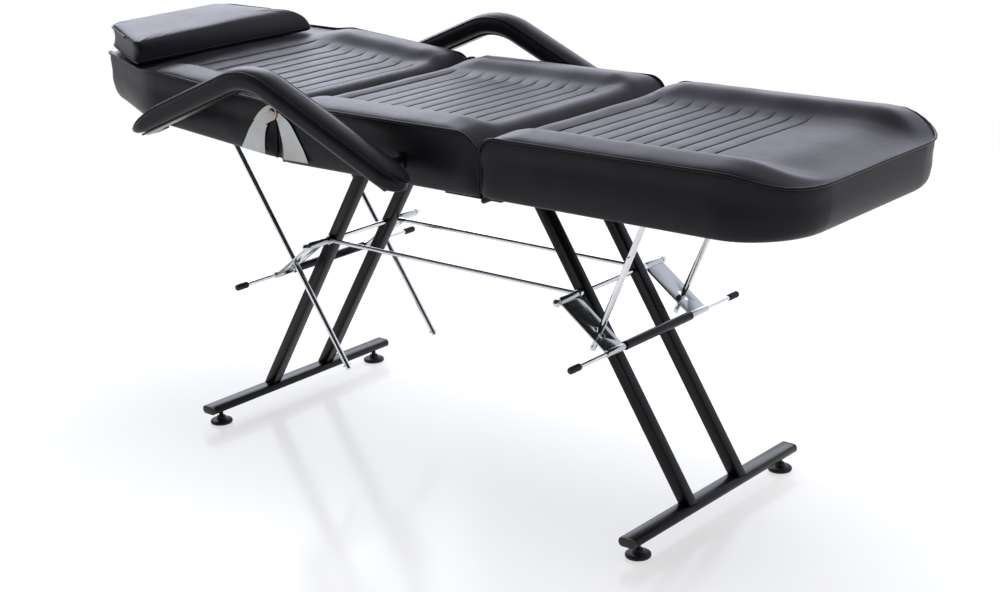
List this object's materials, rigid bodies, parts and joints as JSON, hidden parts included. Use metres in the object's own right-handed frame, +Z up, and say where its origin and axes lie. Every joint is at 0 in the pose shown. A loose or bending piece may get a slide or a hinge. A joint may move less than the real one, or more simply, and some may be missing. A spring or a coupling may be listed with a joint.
{
  "type": "beauty chair",
  "caption": "Reclining padded chair lying nearly flat, with splayed steel legs, prop rods under the backrest and leg rest, bent armrests and a loose head pillow.",
  "frame": {"origin": "centre of the bounding box on the floor, at the middle of the chair's length and width", "axes": "+X from the head end to the foot end, +Y to the sitter's left, +Z up"},
  "size_m": [1.775, 0.8, 0.8636],
  "materials": {
    "black_vinyl": "satin",
    "black_board": "matte",
    "black_steel": "satin",
    "black_plastic": "satin",
    "black_rubber": "matte",
    "chrome": "polished"
  },
  "bodies": {
    "frame": {"foot_base_bar": "black_steel", "foot_cross_member": "black_steel", "foot_crossrod": "chrome", "foot_left_end_cap": "black_plastic", "foot_left_leg": "black_steel", "foot_right_end_cap": "black_plastic", "foot_right_leg": "black_steel", "head_base_bar": "black_steel", "head_cross_member": "black_steel", "head_crossrod": "chrome", "head_left_end_cap": "black_plastic", "head_left_leg": "black_steel", "head_right_end_cap": "black_plastic", "head_right_leg": "black_steel", "left_armrest_pivot": "chrome", "left_seat_hinge_leaf": "chrome", "left_stretcher": "chrome", "right_armrest_pivot": "chrome", "right_seat_hinge_leaf": "chrome", "right_stretcher": "chrome", "seat_board": "black_board", "seat_cushion": "black_vinyl", "seat_strap_leaf": "black_steel"},
    "backrest": {"backrest_board": "black_board", "backrest_cushion": "black_vinyl", "backrest_prop_mount": "black_steel", "left_armrest_link_pin": "chrome", "left_backrest_hinge_leaf": "chrome", "right_armrest_link_pin": "chrome", "right_backrest_hinge_leaf": "chrome"},
    "head_pillow": {"head_pillow": "black_vinyl"},
    "backrest_props": {"backrest_left_prop": "chrome", "backrest_right_prop": "chrome"},
    "legrest": {"legrest_board": "black_board", "legrest_cushion": "black_vinyl", "legrest_prop_mount": "black_steel", "legrest_strap_leaf": "black_steel"},
    "legrest_props": {"legrest_left_prop": "chrome", "legrest_right_prop": "chrome"},
    "head_release": {"head_left_grip": "black_rubber", "head_left_release_plate": "chrome", "head_release_rod": "chrome", "head_release_tube": "black_steel", "head_right_grip": "black_rubber", "head_right_release_plate": "chrome"},
    "foot_release": {"foot_left_grip": "black_rubber", "foot_left_release_plate": "chrome", "foot_release_rod": "chrome", "foot_release_tube": "black_steel", "foot_right_grip": "black_rubber", "foot_right_release_plate": "chrome"},
    "right_armrest": {"right_armrest_pad": "black_vinyl", "right_armrest_rail": "black_steel"},
    "left_armrest": {"left_armrest_pad": "black_vinyl", "left_armrest_rail": "black_steel"},
    "head_right_foot": {"head_right_levelling_foot": "black_rubber"},
    "head_left_foot": {"head_left_levelling_foot": "black_rubber"},
    "foot_right_foot": {"foot_right_levelling_foot": "black_rubber"},
    "foot_left_foot": {"foot_left_levelling_foot": "black_rubber"}
  },
  "joints": [
    {"name": "backrest_tilt", "type": "hinge", "parent": "frame", "child": "backrest", "pos_m": [-0.28897, 0, 0.75], "axis": [0, 1, 0], "range_deg": [-5, 48]},
    {"name": "legrest_tilt", "type": "hinge", "parent": "frame", "child": "legrest", "pos_m": [0.23803, 0, 0.6389], "axis": [0, 1, 0], "range_deg": [0, 35]},
    {"name": "backrest_prop_swing", "type": "hinge", "parent": "backrest", "child": "backrest_props", "pos_m": [-0.6322, 0, 0.66248], "axis": [0, 1, 0], "range_deg": [-29, 4]},
    {"name": "legrest_prop_swing", "type": "hinge", "parent": "legrest", "child": "legrest_props", "pos_m": [0.50453, 0, 0.6274], "axis": [0, 1, 0], "range_deg": [-27, 1]},
    {"name": "right_armrest_swing", "type": "hinge", "parent": "frame", "child": "right_armrest", "pos_m": [0.05353, -0.37, 0.695], "axis": [0, 1, 0], "range_deg": [-3, 24]},
    {"name": "left_armrest_swing", "type": "hinge", "parent": "frame", "child": "left_armrest", "pos_m": [0.05353, 0.37, 0.695], "axis": [0, 1, 0], "range_deg": [-3, 24]},
    {"name": "head_release_lift", "type": "hinge", "parent": "frame", "child": "head_release", "pos_m": [-0.36273, 0, 0.426], "axis": [0, 1, 0], "range_deg": [0, 8]},
    {"name": "foot_release_lift", "type": "hinge", "parent": "frame", "child": "foot_release", "pos_m": [0.3118, 0, 0.426], "axis": [0, -1, 0], "range_deg": [0, 8]},
    {"name": "head_pillow_lift", "type": "slide", "parent": "backrest", "child": "head_pillow", "axis": [0.0872, 0, 0.9962], "range_m": [0, 0.12]},
    {"name": "head_right_foot_levelling", "type": "slide", "parent": "frame", "child": "head_right_foot", "axis": [0, 0, -1], "range_m": [0, 0.01]},
    {"name": "head_left_foot_levelling", "type": "slide", "parent": "frame", "child": "head_left_foot", "axis": [0, 0, -1], "range_m": [0, 0.01]},
    {"name": "foot_right_foot_levelling", "type": "slide", "parent": "frame", "child": "foot_right_foot", "axis": [0, 0, -1], "range_m": [0, 0.01]},
    {"name": "foot_left_foot_levelling", "type": "slide", "parent": "frame", "child": "foot_left_foot", "axis": [0, 0, -1], "range_m": [0, 0.01]}
  ],
  "couplings": [
    {"joint": "backrest_prop_swing", "follows": "backrest_tilt", "ratio": -0.595},
    {"joint": "right_armrest_swing", "follows": "backrest_tilt", "ratio": 0.48},
    {"joint": "left_armrest_swing", "follows": "backrest_tilt", "ratio": 0.48},
    {"joint": "legrest_prop_swing", "follows": "legrest_tilt", "ratio": -0.755}
  ]
}
